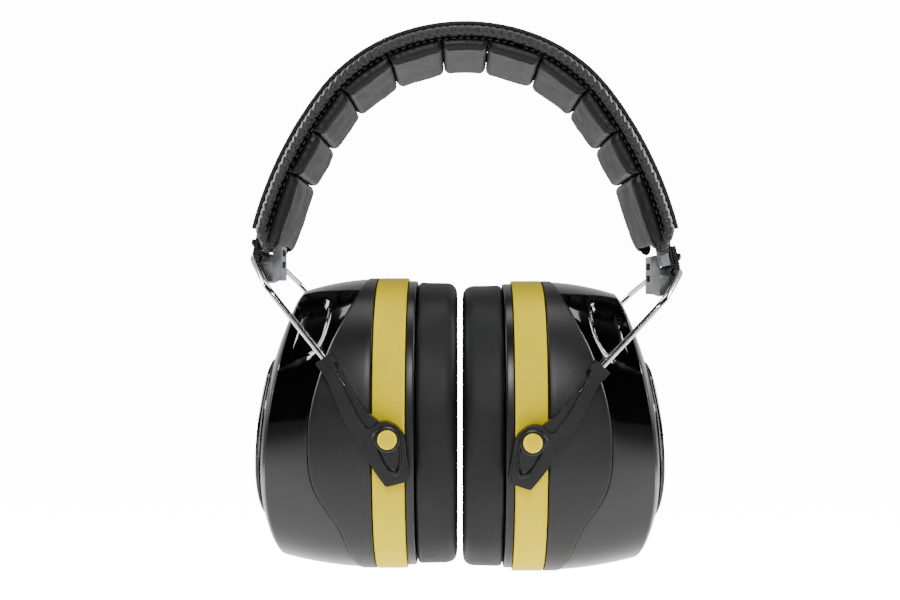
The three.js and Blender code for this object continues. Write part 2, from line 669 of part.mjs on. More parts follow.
// ---------- assembly ----------
// The slider moves along the band's line at the cross bar.
const slideWay = (() => {
  const [dx, dz] = [barIn[0] - sideArc.centre[0], barIn[1] - sideArc.centre[1]];
  return [dz / Math.hypot(dx, dz), -dx / Math.hypot(dx, dz)];
})();

// Each side is built to the right and the left one is mirrored.
function buildSide(root, side) {
  const way = side === "right" ? 1 : -1;
  const sideGroup = new THREE.Group();
  sideGroup.scale.x = way;
  root.add(sideGroup);
  buildGuide(sideGroup, side);

  const out = NOTCHES_OUT[side] * NOTCH;
  const bar = [barIn[0] + slideWay[0] * out, barIn[1] + slideWay[1] * out];
  const slider = new THREE.Group();
  slider.position.set(slideWay[0] * out, 0, slideWay[1] * out);
  sideGroup.add(slider);
  buildStrip(sideGroup, side, out);
  buildSlider(slider, side);

  const across = bar[0] - way * MEETING_X - PIVOT_DEPTH - FACE_GAP / 2;
  const lean = Math.asin(across / YOKE_LENGTH);
  const yoke = new THREE.Group();
  yoke.position.set(bar[0] - across, 0, bar[1] - Math.cos(lean) * YOKE_LENGTH);
  sideGroup.add(yoke);
  const turned = new THREE.Group();
  turned.rotation.y = lean;
  yoke.add(turned);
  buildYoke(turned, side);
  buildCup(yoke, side);
}

const earmuff = new THREE.Group();
buildHeadband(earmuff);
["left", "right"].forEach((side) => buildSide(earmuff, side));

export default earmuff;
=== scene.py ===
"""Looks of the earmuff hearing protector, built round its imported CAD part. Lengths in the model are
millimetres in the row frame and are turned into metres when a mesh is made."""
import math

import bmesh
import bpy
import numpy as np
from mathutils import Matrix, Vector, noise


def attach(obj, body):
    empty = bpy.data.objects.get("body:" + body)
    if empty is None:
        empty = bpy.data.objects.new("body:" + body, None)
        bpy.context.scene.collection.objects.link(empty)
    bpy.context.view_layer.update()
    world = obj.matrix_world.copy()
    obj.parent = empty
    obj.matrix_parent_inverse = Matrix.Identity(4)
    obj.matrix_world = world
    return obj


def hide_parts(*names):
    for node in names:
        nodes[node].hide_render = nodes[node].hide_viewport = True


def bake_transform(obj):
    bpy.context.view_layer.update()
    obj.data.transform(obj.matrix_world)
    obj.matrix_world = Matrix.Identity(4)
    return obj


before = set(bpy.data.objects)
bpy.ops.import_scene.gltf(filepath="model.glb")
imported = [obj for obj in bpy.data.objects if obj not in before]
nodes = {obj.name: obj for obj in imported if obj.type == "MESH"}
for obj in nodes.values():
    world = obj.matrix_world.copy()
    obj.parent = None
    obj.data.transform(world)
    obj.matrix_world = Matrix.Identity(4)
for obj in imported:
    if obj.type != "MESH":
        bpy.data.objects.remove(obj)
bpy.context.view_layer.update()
MM = 0.001

# ---------- sizes shared with the CAD part ----------
BAND_THICKNESS = 11.5
BAND_ARCS = [(77.3, 20.8), (66.6, 52.9), (150.9, 75.4)]  # radius, end angle from the crown
COVER_HALF = 23.5
COVER_THICKNESS = 1.5
SPRING_HALF = 8.0
SPRING_DEPTHS = (3.15, 4.05)
SPRING_END = 90.6
SEAM_RADIUS = 2.3
SEAM_DEPTH = 4.1
SEAM_Y = 24.0
PAD_EDGES = [10, 34.1, 58.6, 79.6, 98.9, 130.63]
PAD_GROOVE = 0.2
PAD_HALF = 24.5
PAD_CORE_HALF = 21.4
GUIDE_START = 83.6
SLIDER_HALF = 15.0
SLIDER_REACH = 11.0
BAR_DEPTH = 3.6
CLIP_INSET = 4.4
CLIP_THICKNESS = 3.6
CLIP_RISE = 6.5
CLIP_DROP = 8.8
EAR_REACH = 8.2  # from the cross bar back along the band to the start of the clip's ears
EAR_DEPTH = 8.6
POCKET_CLEAR = 0.6
POCKET_OPENING = 5  # how far the pocket runs on toward the tongue
NOTCH = 5.6  # one step of the height adjustment
NOTCHES_OUT = {"left": 0, "right": 1}
STRIP_ENDS = (92.7, 132.4)  # arc lengths of the slider strip when fully in
STRIP_DEPTHS = (3.0, 4.2)
WIRE_RADIUS = 1.15
WIRE_Y = 47.8
WIRE_BEND = 5.0
WIRE_END = 25.0
YOKE_LENGTH = 85.2
BAR_HALF = 28.0
SHOULDER_DROP = 13.9
ARM_INNER = 45.4
ARM_OUTER = 50.2
BOSS_FACE = 51.4
CUP_POWER = 2.35
CUP_CENTRE = 0.95
CUP_HALF = (44.0, 58.05)
CREASE_HALF = (38.0, 53.0)
WALL_START = 31.9
SHELL_WALL = 2.4
PIVOT_DEPTH = 25.4
SIDES = {
    "left": {"way": -1, "pivot": (-28.3, -146.6013), "lean": 38.58},
    "right": {"way": 1, "pivot": (24.3, -147.7804), "lean": 43.04},
}
# The arm in (v, u), from the ferrule down its outer edge, round the angular foot and up the other side.
ARM_OUTLINE = [
    (2.9, 37.4), (3.6, 30), (6, 23), (8.1, 15), (9.4, 7), (10.4, -1), (11.1, -7), (11.4, -13.2),
    (3.9, -16.6), (2.2, -15.4), (0.3, -12.4), (-2.2, -8), (-4.8, -4.6), (-5.9, -1), (-5.2, 3),
    (-3.4, 5.8), (-1, 6.9), (3.9, 6.4), (3.2, 14), (1.6, 22), (-0.6, 30), (-2.9, 37.4),
]
ARM_CORNERS = [0.3] + [3.0] * 6 + [0.9, 0.9] + [3.0] * 12 + [0.3]
# The thinner web on the head's side of the arm.
WEB_OUTLINE = [
    (-1.4, 6.6), (0.2, 14), (-0.5, 22), (-2.2, 31), (0.4, 31), (2.4, 22), (4.0, 14), (4.8, 5.6),
]
# The shield round the pin, raised on the arm.
SHIELD_OUTLINE = [
    (9.2, 1.8), (10.2, -6), (10.6, -12.6), (4.1, -15.6), (3.0, -14.4), (0.8, -11.4), (-3.4, -4.4),
    (-4.6, -0.8), (-4.1, 2.6), (-2.2, 4.7), (1.6, 5.8), (5.6, 4.9),
]
# The boss on the shield.
BOSS_OUTLINE = [
    (4.4, 3.4), (6.4, -3), (7.4, -9), (6, -12.2), (3.6, -12.2), (-0.6, -7.6), (-3.6, -2.6), (-3.8, 1.6),
    (-1.6, 4.4), (1.6, 5),
]


# ---------- materials ----------
def linear(code):
    """A hex sRGB colour as the linear RGBA that the shader takes."""
    values = [int(code[i:i + 2], 16) / 255 for i in (1, 3, 5)]
    return [v / 12.92 if v <= 0.04045 else ((v + 0.055) / 1.055) ** 2.4 for v in values] + [1]


def add_node(tree, kind, inputs=None, **settings):
    """Adds a shader node. A socket's input is either another node's output or a plain value."""
    made = tree.nodes.new("ShaderNode" + kind)
    for name, value in settings.items():
        setattr(made, name, value)
    for socket, value in (inputs or {}).items():
        if isinstance(value, bpy.types.NodeSocket):
            tree.links.new(value, made.inputs[socket])
        else:
            made.inputs[socket].default_value = value
    return made


TONE_STOPS = (0.35, 0.65)  # where a surface's darker tone ends and its lighter one begins


def finish_of(name, dark, light, rough, grain, wear=40.0, bump=0.3, depth=0.05, metal=0.0,
              cells=False, sheen=0.0, specular=0.5):
    """A moulded, sewn or drawn surface: its colour drifts between two tones over `wear` millimetres,
    its roughness drifts between two values, and a grain of `grain` millimetres stands `depth`
    millimetres high."""
    material = bpy.data.materials.new(name)
    material.use_nodes = True
    tree = material.node_tree
    shader = tree.nodes["Principled BSDF"]
    places = add_node(tree, "TexCoord").outputs["Object"]
    drift = add_node(tree, "TexNoise", {"Vector": places, "Scale": 1000 / wear, "Detail": 3.0})
    tone = add_node(tree, "ValToRGB", {"Fac": drift.outputs["Fac"]})
    for stop, position, colour in zip(tone.color_ramp.elements, TONE_STOPS, (dark, light)):
        stop.position = position
        stop.color = linear(colour)
    gloss = add_node(tree, "MapRange", {"Value": drift.outputs["Fac"], "From Min": 0.3, "From Max": 0.7,
                                        "To Min": rough[0], "To Max": rough[1]})
    tree.links.new(tone.outputs["Color"], shader.inputs["Base Color"])
    tree.links.new(gloss.outputs["Result"], shader.inputs["Roughness"])
    if cells:
        relief = add_node(tree, "TexVoronoi", {"Vector": places, "Scale": 1000 / grain},
                          feature="SMOOTH_F1").outputs["Distance"]
    else:
        relief = add_node(tree, "TexNoise", {"Vector": places, "Scale": 1000 / grain,
                                             "Detail": 2.0}).outputs["Fac"]
    height = add_node(tree, "Bump", {"Height": relief, "Strength": bump, "Distance": depth * MM},
                      invert=cells)
    tree.links.new(height.outputs["Normal"], shader.inputs["Normal"])
    shader.inputs["Metallic"].default_value = metal
    shader.inputs["Specular IOR Level"].default_value = specular
    shader.inputs["Sheen Weight"].default_value = sheen
    return material


# Embossed leatherette, pebbled about 1.1 mm.
COVER = finish_of("embossed leatherette cover", "#0a0a0b", "#121214", (0.52, 0.64), 1.1, 30, 0.7, 0.12,
                  cells=True, specular=0.3)
# Soft vinyl stretched over foam, nearly smooth with a satin sheen.
PAD = finish_of("satin vinyl pad skin", "#070708", "#0c0c0d", (0.38, 0.48), 1.6, 18, 0.35, 0.1, specular=0.25)
# Thin PVC film over the cushion's foam.
CUSHION = finish_of("soft PVC cushion skin", "#0b0b0c", "#111112", (0.5, 0.6), 0.8, 26, 0.25, 0.04,
                    specular=0.3)
# Waxed thread and folded leatherette, whip-stitched.
SEAM = finish_of("waxed whip-stitched seam", "#060607", "#19191b", (0.42, 0.6), 0.9, 2.2, 0.8, 0.15)
# Cold-rolled spring leaf.
SPRING = finish_of("rolled spring steel", "#77797c", "#909296", (0.3, 0.42), 0.4, 12, 0.2, 0.01, metal=1)
# Bright drawn and nickel-plated wire.
WIRE = finish_of("plated yoke wire", "#b4b6b9", "#c9cbce", (0.1, 0.16), 0.5, 9, 0.06, 0.01, metal=1)
# Blackened pressed rivets.
RIVET = finish_of("pressed rivet steel", "#4a4b4e", "#66686b", (0.3, 0.4), 0.3, 2, 0.15, 0.02, metal=1)
# Injection-moulded nylon, satin.
SATIN = finish_of("satin black nylon", "#070708", "#0c0c0d", (0.3, 0.38), 0.5, 15, 0.12, 0.02, specular=0.4)
# Polished ABS.
GLOSS = finish_of("polished black ABS", "#020202", "#040404", (0.06, 0.09), 6, 30, 0.02, 0.02)
# Spark-eroded mould grain of about 0.6 mm.
GRAIN = finish_of("spark-grained black ABS", "#050505", "#090909", (0.36, 0.44), 0.6, 20, 0.55, 0.06,
                  specular=0.4)
# Moulded yellow ABS.
YELLOW = finish_of("moulded yellow ABS", "#dcc400", "#e4cc00", (0.4, 0.46), 0.7, 45, 0.1, 0.02, specular=0.05)
YELLOW_BUTTON = finish_of("polished yellow pin head", "#dcc400", "#e4cc00", (0.25, 0.3), 0.7, 6, 0.05, 0.01,
                          specular=0.1)
# Grey glass-filled nylon.
GREY = finish_of("grey moulded nylon", "#6b6e71", "#83868a", (0.4, 0.5), 0.5, 5, 0.25, 0.03)
# Open-cell foam.
FOAM = finish_of("open-cell foam", "#1b1c1e", "#303134", (0.9, 1.0), 0.9, 1.4, 1.0, 0.4, cells=True)
# Spun fabric over the foam.
GAUZE = finish_of("spun gauze", "#141517", "#26272a", (0.8, 0.95), 0.5, 0.8, 1.0, 0.2, sheen=0.3)


# ---------- meshes ----------
def make_object(name, points, faces, material, sharp=35, uvs=None):
    """A mesh piece from points in millimetres, smooth-shaded except at edges over `sharp` degrees."""
    data = bpy.data.meshes.new(name)
    data.from_pydata([tuple(p) for p in np.asarray(points, float) * MM], [], faces)
    if uvs is not None:
        layer = data.uv_layers.new(name="UVMap")
        for loop in data.loops:
            layer.data[loop.index].uv = uvs[loop.vertex_index]
    work = bmesh.new()
    work.from_mesh(data)
    bmesh.ops.recalc_face_normals(work, faces=work.faces)
    work.to_mesh(data)
    work.free()
    data.shade_smooth()
    data.set_sharp_from_angle(angle=math.radians(sharp))
    data.materials.append(material)
    made = bpy.data.objects.new(name, data)
    bpy.context.scene.collection.objects.link(made)
    return made


def loft_faces(ring_count, size, closed=False, start=0):
    """Quads between rings of `size` points. An open loft is capped with one face at each end."""
    faces = []
    for i in range(ring_count if closed else ring_count - 1):
        a, b = start + i * size, start + ((i + 1) % ring_count) * size
        faces += [(a + j, a + (j + 1) % size, b + (j + 1) % size, b + j) for j in range(size)]
    if not closed:
        last = start + (ring_count - 1) * size
        faces += [tuple(range(start + size - 1, start - 1, -1)), tuple(range(last, last + size))]
    return faces


def loft(name, rings, material, closed=False, sharp=35, uvs=None):
    rings = np.asarray(rings, float)
    faces = loft_faces(len(rings), rings.shape[1], closed)
    return make_object(name, rings.reshape(-1, 3), faces, material, sharp, uvs)


def rounded(outline, radius, steps=5):
    """The closed outline with each corner turned into an arc. `radius` is one value or one per corner."""
    made = []
    count = len(outline)
    radii = [radius] * count if isinstance(radius, (int, float)) else radius
    for i, corner in enumerate(outline):
        corner = np.array(corner, float)
        before, after = (np.array(outline[(i + k) % count], float) - corner for k in (-1, 1))
        length = min(radii[i], np.linalg.norm(before) / 2.05, np.linalg.norm(after) / 2.05)
        if length <= 0:
            made.append(corner)
            continue
        a = corner + before / np.linalg.norm(before) * length
        b = corner + after / np.linalg.norm(after) * length
        for t in np.linspace(0, 1, steps + 1):
            made.append((1 - t) ** 2 * a + 2 * t * (1 - t) * corner + t ** 2 * b)
    return np.array(made)


def resampled(outline, count):
    """`count` points spaced evenly round a closed outline."""
    outline = np.asarray(outline, float)
    ring = np.vstack([outline, outline[:1]])
    along = np.concatenate([[0], np.cumsum(np.linalg.norm(np.diff(ring, axis=0), axis=1))])
    at = np.linspace(0, along[-1], count, endpoint=False)
    return np.stack([np.interp(at, along, ring[:, k]) for k in (0, 1)], axis=1)


def smooth_loop(outline, per_side=6):
    """A closed curve through the outline's points."""
    points = np.asarray(outline, float)
    made = []
    for i in range(len(points)):
        p0, p1, p2, p3 = (points[(i + k) % len(points)] for k in (-1, 0, 1, 2))
        for t in np.linspace(0, 1, per_side, endpoint=False):
            made.append(0.5 * (2 * p1 + (p2 - p0) * t + (2 * p0 - 5 * p1 + 4 * p2 - p3) * t ** 2
                               + (3 * p1 - p0 - 3 * p2 + p3) * t ** 3))
    return np.array(made)


def wobble(point, size, amount):
    """A smooth random offset, `size` millimetres from hump to hump."""
    return amount * noise.noise(Vector(point) / size)


def tube_rings(path, radius_at, sides, first_normal):
    """Rings round a path. radius_at(length, angle) gives the radius; angle 0 is along the first normal."""
    path = np.asarray(path, float)
    tangents = np.gradient(path, axis=0)
    tangents /= np.linalg.norm(tangents, axis=1)[:, None]
    normal = np.array(first_normal, float)
    along = 0.0
    rings = []
    for i, point in enumerate(path):
        if i:
            along += np.linalg.norm(point - path[i - 1])
        normal = normal - tangents[i] * normal.dot(tangents[i])
        normal /= np.linalg.norm(normal)
        side = np.cross(tangents[i], normal)
        ring = []
        for j in range(sides):
            angle = 2 * math.pi * j / sides
            ring.append(point + radius_at(along, angle) * (normal * math.cos(angle) + side * math.sin(angle)))
        rings.append(ring)
    return np.array(rings)


def piece(made, body, node):
    """The made object rides on a body and stands for a CAD node."""
    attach(made, body)
    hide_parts(node)


BEVEL_ANGLE = 30  # degrees; only sharper edges than this are softened


def bevel(obj, width, segments=3):
    made = obj.modifiers.new("soft edges", "BEVEL")
    made.width = width * MM
    made.segments = segments
    made.limit_method = "ANGLE"
    made.angle_limit = math.radians(BEVEL_ANGLE)
    made.harden_normals = False


def keep_node(name, material, width):
    """A CAD node shown as it is, with its moulded edges softened."""
    node = nodes[name]
    node.data.materials.clear()
    node.data.materials.append(material)
    weld = node.modifiers.new("joined corners", "WELD")
    weld.merge_threshold = 0.00001
    if width:
        bevel(node, width, 2)


# ---------- headband ----------
def band_arcs():
    made, start, turned = [], 0.0, 0.0
    centre = (0.0, BAND_THICKNESS - BAND_ARCS[0][0])
    for i, (radius, end) in enumerate(BAND_ARCS):
        if i:
            change = BAND_ARCS[i - 1][0] - radius
            centre = (centre[0] + change * math.sin(turned), centre[1] + change * math.cos(turned))
        length = radius * (math.radians(end) - turned)
        made.append((radius, turned, centre, start, length))
        start, turned = start + length, math.radians(end)
    return made


ARCS = band_arcs()
BAND_END = ARCS[-1][3] + ARCS[-1][4]


def band_point(u, y, depth):
    """The point at arc length u from the crown (negative to the left) and a depth under the outer face."""
    side, s = (-1 if u < 0 else 1), abs(u)
    radius, turned, centre, start, _ = next((a for a in ARCS if s <= a[3] + a[4]), ARCS[-1])
    angle = turned + (s - start) / radius
    r = radius - depth
    return (side * (centre[0] + r * math.sin(angle)), y, centre[1] + r * math.cos(angle))


# Each span of the band crosses one hinge: name, arc lengths, bodies, arc lengths of the bend.
SPANS = [
    ("left_end", -BAND_END, -22, "band_shoulder_left", "band_end_left", -28, -40),
    ("left_crown", -22, 0, "headband", "band_shoulder_left", -4, -16),
    ("right_crown", 0, 22, "headband", "band_shoulder_right", 4, 16),
    ("right_end", 22, BAND_END, "band_shoulder_right", "band_end_right", 28, 40),
]


def bend_with_band(made, node):
    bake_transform(made)
    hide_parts(node)


def band_strip(name, u0, u1, section, material, step=1.5):
    """A strip of the band with a section of (y, depth). Its UV is arc length and width in metres."""
    count = max(2, round(abs(u1 - u0) / step)) + 1
    girth = np.concatenate([[0], np.cumsum(np.linalg.norm(np.diff(section, axis=0), axis=1))])
    rings, uvs = [], []
    for u in np.linspace(u0, u1, count):
        rings.append([band_point(u, y, d) for y, d in section])
        uvs += [(u * MM, g * MM) for g in girth]
    return loft(name, rings, material, uvs=uvs)


def build_cover_and_spring():
    cover = rounded([(-COVER_HALF, 0), (COVER_HALF, 0), (COVER_HALF, COVER_THICKNESS + 0.3),
                     (-COVER_HALF, COVER_THICKNESS + 0.3)], 0.75)
    spring = rounded([(-SPRING_HALF, SPRING_DEPTHS[0]), (SPRING_HALF, SPRING_DEPTHS[0]),
                      (SPRING_HALF, SPRING_DEPTHS[1]), (-SPRING_HALF, SPRING_DEPTHS[1])], 0.3, 2)
    for span in SPANS:
        name, u0, u1 = span[:3]
        bend_with_band(band_strip("cover_" + name, u0, u1, cover, COVER), "head_cover")
        v0, v1 = max(u0, -SPRING_END), min(u1, SPRING_END)
        bend_with_band(band_strip("spring_" + name, v0, v1, spring, SPRING, 3), "spring_band")


STITCH = 3.1  # millimetres from one whip stitch to the next
# How far the seam turns in, runs on and sinks where it rounds the corner of the pad.
CORNER_INWARD = 6
CORNER_BEYOND = 5.6
CORNER_DEEPER = 3.4


def seam_radius(along, angle):
    """The roll is drawn in by slanting stitches that meet in a chevron on its outer side."""
    facing = abs((angle + math.pi) % (2 * math.pi) - math.pi)
    phase = (along / STITCH + 0.42 * facing + wobble((along, 3, 0), 5, 0.35)) % 1
    groove = math.exp(-((phase - 0.5) / 0.16) ** 2)
    puff = 1 - 0.1 * abs(phase - 0.5)
    return SEAM_RADIUS * (puff - 0.26 * groove) + wobble((along, angle, 7), 1.2, 0.14)


def seam_path(u0, u1, way):
    """Along the band's edge, and at the band's end round the corner of the pad, clear of the clip."""
    side = 1 if u0 + u1 > 0 else -1
    outer = max(abs(u0), abs(u1))
    inner = min(abs(u0), abs(u1))
    points = [band_point(side * u, way * SEAM_Y, SEAM_DEPTH)
              for u in np.arange(inner, outer, 0.45)] + [band_point(side * outer, way * SEAM_Y, SEAM_DEPTH)]
    if outer > BAND_END - 1:
        for t in np.linspace(0, math.pi / 2, 18)[1:]:
            y = way * (SEAM_Y - CORNER_INWARD + CORNER_INWARD * math.cos(t))
            u = outer + CORNER_BEYOND * math.sin(t)
            points.append(band_point(side * u, y, SEAM_DEPTH + CORNER_DEEPER * math.sin(t)))
    return points


def build_seams():
    sides = 18
    for label, way in (("front", -1), ("rear", 1)):
        for span in SPANS:
            name, u0, u1 = span[:3]
            path = seam_path(u0, u1, way)
            rings = tube_rings(path, seam_radius, sides, (0, way, 0))
            points, faces = list(rings.reshape(-1, 3)), loft_faces(len(rings), sides)
            # A row of short lock stitches holds the roll to the pad.
            low, high = sorted((u0, u1))
            for u in np.arange(math.ceil(low / STITCH) * STITCH + 0.4, high - 2, STITCH):
                ends = [band_point(u + k, way * (PAD_HALF - 0.1), 6.9) for k in (0, 0.5, 1.3, 1.8)]
                stitch = tube_rings(ends, lambda s, a: 0.28 if 0.3 < s < 1.5 else 0.15, 6, (0, way, 0))
                faces += loft_faces(len(stitch), 6, start=len(points))
                points += list(stitch.reshape(-1, 3))
            made = make_object("seam_%s_%s" % (label, name), points, faces, SEAM, 60)
            bend_with_band(made, "seam_" + label)


def carve(made, cutters, sharp):
    """Takes the cutters' space out of a mesh and removes the cutters."""
    for cutter in cutters:
        change = made.modifiers.new("pocket", "BOOLEAN")
        change.operation = "DIFFERENCE"
        change.solver = "EXACT"
        change.object = cutter
    graph = bpy.context.evaluated_depsgraph_get()
    carved = bpy.data.meshes.new_from_object(made.evaluated_get(graph))
    made.modifiers.clear()
    made.data = carved
    carved.set_sharp_from_angle(angle=math.radians(sharp))
    for cutter in cutters:
        bpy.data.objects.remove(cutter)


def clip_pocket(side):
    """The room in the last cell for the height clip and its ears when the slider is fully in."""
    half = SLIDER_HALF + POCKET_CLEAR
    bar = band_point(side * (BAND_END + SLIDER_REACH), 0, BAR_DEPTH)
    outer = bar[0] - side * (CLIP_INSET - POCKET_OPENING)
    inner = bar[0] - side * (CLIP_INSET + CLIP_THICKNESS + POCKET_CLEAR)
    low, high = bar[2] - CLIP_DROP, bar[2] + CLIP_RISE + POCKET_CLEAR
    body = loft("pocket", [[(x, y, z) for x, z in ((inner, low), (outer, low), (outer, high), (inner, high))]
                           for y in (-half, half)], PAD)
    start = BAND_END + SLIDER_REACH - EAR_REACH - POCKET_CLEAR
    ears = loft("ear_pocket", [[band_point(side * u, y, d) for y, d in
                                ((-half, 0), (half, 0), (half, EAR_DEPTH), (-half, EAR_DEPTH))]
                               for u in np.linspace(start, BAND_END + SLIDER_REACH, 5)], PAD)
    return [body, ears]


PAD_TOP, PAD_TOP_UNDER_GUIDE = 4.9, 5.9  # depths of a cell's hidden side
PAD_SHOULDER = (6.6, 6.9)  # depths at which the cell widens past the seam
GROOVE_REACH = 2.7  # how far from a groove the cell is drawn in
GROOVE_DEPTH = 2.7
GROOVE_PINCH = 0.9
CELL_SWELL = 0.8
FREE_END_REACH = 8.5  # length over which the last cell's free end is rounded


def build_pad_cell(number, u0, u1, body):
    """One quilted cell: a foam block drawn in at its two stitched grooves."""
    side = 1 if u0 + u1 >= 0 else -1
    crown = u0 < 0 < u1
    last = max(abs(u0), abs(u1)) > BAND_END
    top = PAD_TOP_UNDER_GUIDE if max(abs(u0), abs(u1)) > GUIDE_START else PAD_TOP
    core, edge = PAD_SHOULDER
    outline = [(-PAD_CORE_HALF, top), (PAD_CORE_HALF, top), (PAD_CORE_HALF, core), (PAD_HALF, edge),
               (PAD_HALF, BAND_THICKNESS), (-PAD_HALF, BAND_THICKNESS), (-PAD_HALF, edge),
               (-PAD_CORE_HALF, core)]
    loop = resampled(rounded(outline, [0.3, 0.3, 0.3, 1.2, 4.2, 4.2, 1.2, 0.3], 6), 110)
    a, b = u0 + PAD_GROOVE / 2, u1 - PAD_GROOVE / 2
    length = b - a
    at = 0.5 - 0.5 * np.cos(np.linspace(0, math.pi, 34))
    rings = []
    for t in at:
        u = a + t * length
        ends = [t * length, (1 - t) * length]
        free = None
        if last:
            free = ends.pop(1 if side > 0 else 0)
        near = min(ends)
        full = math.sqrt(max(0, 1 - max(0, 1 - near / GROOVE_REACH) ** 2))
        deep = GROOVE_DEPTH * (1 - full)
        wide = GROOVE_PINCH * (1 - full)
        swell = 0 if crown else CELL_SWELL * math.sin(math.pi * t)
        round_off = 1.0
        if free is not None:
            round_off = math.sqrt(max(0, 1 - max(0, 1 - free / FREE_END_REACH) ** 2))
        ring = []
        for y, d in loop:
            share = (d - top) / (BAND_THICKNESS - top)
            low = BAND_THICKNESS - deep + swell
            depth = top + (low - top) * share
            half = y * (1 - wide / PAD_HALF * min(1, share * 2))
            if free is not None:
                shrunk = (depth - core) * (0.42 + 0.58 * round_off)
                depth = core + shrunk + 0.8 * (1 - min(1, free / 6))
                half *= 0.86 + 0.14 * round_off
            pucker = math.sin(2 * math.pi * u / STITCH + 1.3) * math.exp(-((share - 0.42) / 0.2) ** 2)
            crease = wobble((u, y * 0.5, d + number * 9), 7, 0.5) + wobble((u, y, d * 2 + 31), 2.6, 0.14)
            at_side = min(1, max(0, (abs(y) - 20) / 4))
            half += math.copysign(at_side * (0.16 * pucker + 0.6 * crease), y)
            depth += (share if not crown else 0.25 * share) * crease * (1 - 0.5 * at_side)
            ring.append(band_point(u, half, depth))
        rings.append(ring)
    made = loft("cell_%02d" % number, rings, PAD, sharp=70)
    if last:
        carve(made, clip_pocket(side), 70)
    piece(made, body, "pad_cell_%02d" % number)


def build_pad():
    build_pad_cell(6, -PAD_EDGES[0], PAD_EDGES[0], "headband")
    for i in range(5):
        for side, word in ((1, "right"), (-1, "left")):
            u0, u1 = sorted((side * PAD_EDGES[i], side * PAD_EDGES[i + 1]))
            body = ("band_shoulder_" if i == 0 else "band_end_") + word
            build_pad_cell(6 + side * (i + 1), u0, u1, body)


# ---------- yoke ----------
def yoke_point(side, v, y, u):
    """A point of the yoke: u from the pivot toward the cross bar, v square to it and outward."""
    lean = math.radians(side["lean"])
    x = v * math.cos(lean) + u * math.sin(lean)
    z = u * math.cos(lean) - v * math.sin(lean)
    return (side["pivot"][0] + side["way"] * x, y, side["pivot"][1] + z)


def wire_line():
    shoulder = YOKE_LENGTH - SHOULDER_DROP
    corners = np.array([(WIRE_Y, WIRE_END), (WIRE_Y, shoulder), (BAR_HALF, YOKE_LENGTH),
                        (-BAR_HALF, YOKE_LENGTH), (-WIRE_Y, shoulder), (-WIRE_Y, WIRE_END)], float)
    line = [corners[0]]
    for before, corner, after in zip(corners, corners[1:], corners[2:]):
        a = corner + (before - corner) / np.linalg.norm(before - corner) * WIRE_BEND
        b = corner + (after - corner) / np.linalg.norm(after - corner) * WIRE_BEND
        line += [(1 - t) ** 2 * a + 2 * t * (1 - t) * corner + t ** 2 * b for t in np.linspace(0, 1, 12)]
    return line + [corners[-1]]


def prism(side, outline, y0, y1):
    """Points and faces of a plate whose outline is in (v, u)."""
    points = [yoke_point(side, v, y, u) for y in (y0, y1) for v, u in outline]
    return points, loft_faces(2, len(outline))


def stacked(side, rings):
    """Points and faces of a body through rings of (v, y, u)."""
    points = [yoke_point(side, v, y, u) for ring in rings for v, y, u in ring]
    return points, loft_faces(len(rings), len(rings[0]))


def build_wire(word, side):
    path = [yoke_point(side, 0, y, u) for y, u in wire_line()]
    rings = tube_rings(path, lambda s, a: WIRE_RADIUS, 24, (1, 0, 0))
    piece(loft("wire_" + word, rings, WIRE, sharp=60), "yoke_" + word, "yoke_wire_" + word)


FERRULE_OUTLINE = [(-3.4, 37.6), (-3.6, 33.8), (3.4, 33.8), (3.4, 37.6)]
FERRULE_PROUD = 0.5  # on both faces of the arm
SHIELD_PROUD = 0.55
BOSS_MIDDLE = np.array([2.2, -4.2])
# The boss from its foot over its raised rim into its hollow: share of its outline, distance outward.
BOSS_STEPS = [(1, ARM_OUTER - 0.3), (1, BOSS_FACE - 0.35), (0.955, BOSS_FACE), (0.86, BOSS_FACE),
              (0.78, BOSS_FACE - 0.45), (0.6, BOSS_FACE - 0.95), (0.3, BOSS_FACE - 1.15)]
# The collar round the pin: radius, distance outward.
COLLAR_STEPS = [(4.9, ARM_OUTER - 0.2), (4.8, BOSS_FACE), (4.4, BOSS_FACE + 0.2), (3.9, BOSS_FACE + 0.2),
                (3.8, BOSS_FACE - 0.2), (2.3, BOSS_FACE - 0.2)]


def boss(side, way):
    outline = smooth_loop(BOSS_OUTLINE, 5)
    return stacked(side, [[(v, way * y, u) for v, u in BOSS_MIDDLE + (outline - BOSS_MIDDLE) * scale]
                          for scale, y in BOSS_STEPS])


def pin_collar(side, way):
    turn = np.linspace(0, 2 * math.pi, 40, endpoint=False)
    return stacked(side, [[(r * math.cos(t), way * y, r * math.sin(t)) for t in turn]
                          for r, y in COLLAR_STEPS])


def build_arm(label, way, word, side):
    """A spine, a thinner web, a ferrule and a shield that carries the boss and the pin's collar."""
    parts = [
        prism(side, rounded(ARM_OUTLINE, ARM_CORNERS, 3), way * ARM_INNER, way * ARM_OUTER),
        prism(side, rounded(FERRULE_OUTLINE, 0.5, 3), way * (ARM_INNER - FERRULE_PROUD),
              way * (ARM_OUTER + FERRULE_PROUD)),
        boss(side, way),
        pin_collar(side, way),
        prism(side, rounded(WEB_OUTLINE, 0.3, 2), way * (ARM_INNER + 0.2), way * (ARM_OUTER - 1.5)),
        prism(side, rounded(SHIELD_OUTLINE, 1.0, 3), way * (ARM_OUTER - 0.3),
              way * (ARM_OUTER + SHIELD_PROUD)),
    ]
    points, faces = [], []
    for part_points, part_faces in parts:
        faces += [tuple(i + len(points) for i in face) for face in part_faces]
        points += part_points
    arm = make_object("arm_%s_%s" % (label, word), points, faces, SATIN, 32)
    bevel(arm, 0.45)
    piece(arm, "yoke_" + word, "yoke_arm_%s_%s" % (label, word))


def build_yoke(word, side):
    build_wire(word, side)
    for label, way in (("front", -1), ("rear", 1)):
        build_arm(label, way, word, side)


